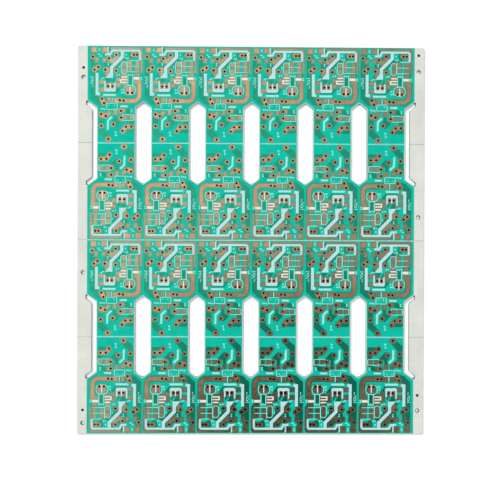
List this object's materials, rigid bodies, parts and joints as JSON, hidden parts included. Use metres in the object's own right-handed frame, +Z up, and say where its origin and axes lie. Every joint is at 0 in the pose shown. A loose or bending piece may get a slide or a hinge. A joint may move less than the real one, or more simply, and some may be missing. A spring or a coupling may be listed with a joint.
{
  "type": "metal core circuit board panel",
  "caption": "Flat panel of like metal core circuit boards in a grid, scored between the rows, with slots between the narrow necks and a bare rail along each side.",
  "frame": {"origin": "middle of the panel's underside", "axes": "+X across the columns of boards, +Y along the boards, +Z up out of the copper side"},
  "size_m": [0.154, 0.172, 0.0017],
  "materials": {
    "core_aluminium": "mill finish",
    "dielectric": "matt",
    "solder_mask": "satin",
    "bare_copper": "dulled copper",
    "legend_ink": "matt ink"
  },
  "bodies": {
    "root": {"aluminium_core": "core_aluminium", "dielectric_layer": "dielectric", "solder_mask_row_1": "solder_mask", "solder_mask_row_2": "solder_mask", "solder_mask_row_3": "solder_mask", "solder_mask_row_4": "solder_mask", "copper_row_1_board_1": "bare_copper", "copper_row_1_board_2": "bare_copper", "copper_row_1_board_3": "bare_copper", "copper_row_1_board_4": "bare_copper", "copper_row_1_board_5": "bare_copper", "copper_row_1_board_6": "bare_copper", "copper_row_2_board_1": "bare_copper", "copper_row_2_board_2": "bare_copper", "copper_row_2_board_3": "bare_copper", "copper_row_2_board_4": "bare_copper", "copper_row_2_board_5": "bare_copper", "copper_row_2_board_6": "bare_copper", "copper_row_3_board_1": "bare_copper", "copper_row_3_board_2": "bare_copper", "copper_row_3_board_3": "bare_copper", "copper_row_3_board_4": "bare_copper", "copper_row_3_board_5": "bare_copper", "copper_row_3_board_6": "bare_copper", "copper_row_4_board_1": "bare_copper", "copper_row_4_board_2": "bare_copper", "copper_row_4_board_3": "bare_copper", "copper_row_4_board_4": "bare_copper", "copper_row_4_board_5": "bare_copper", "copper_row_4_board_6": "bare_copper", "legend_row_1_board_1": "legend_ink", "legend_row_1_board_2": "legend_ink", "legend_row_1_board_3": "legend_ink", "legend_row_1_board_4": "legend_ink", "legend_row_1_board_5": "legend_ink", "legend_row_1_board_6": "legend_ink", "legend_row_2_board_1": "legend_ink", "legend_row_2_board_2": "legend_ink", "legend_row_2_board_3": "legend_ink", "legend_row_2_board_4": "legend_ink", "legend_row_2_board_5": "legend_ink", "legend_row_2_board_6": "legend_ink", "legend_row_3_board_1": "legend_ink", "legend_row_3_board_2": "legend_ink", "legend_row_3_board_3": "legend_ink", "legend_row_3_board_4": "legend_ink", "legend_row_3_board_5": "legend_ink", "legend_row_3_board_6": "legend_ink", "legend_row_4_board_1": "legend_ink", "legend_row_4_board_2": "legend_ink", "legend_row_4_board_3": "legend_ink", "legend_row_4_board_4": "legend_ink", "legend_row_4_board_5": "legend_ink", "legend_row_4_board_6": "legend_ink"}
  },
  "joints": []
}
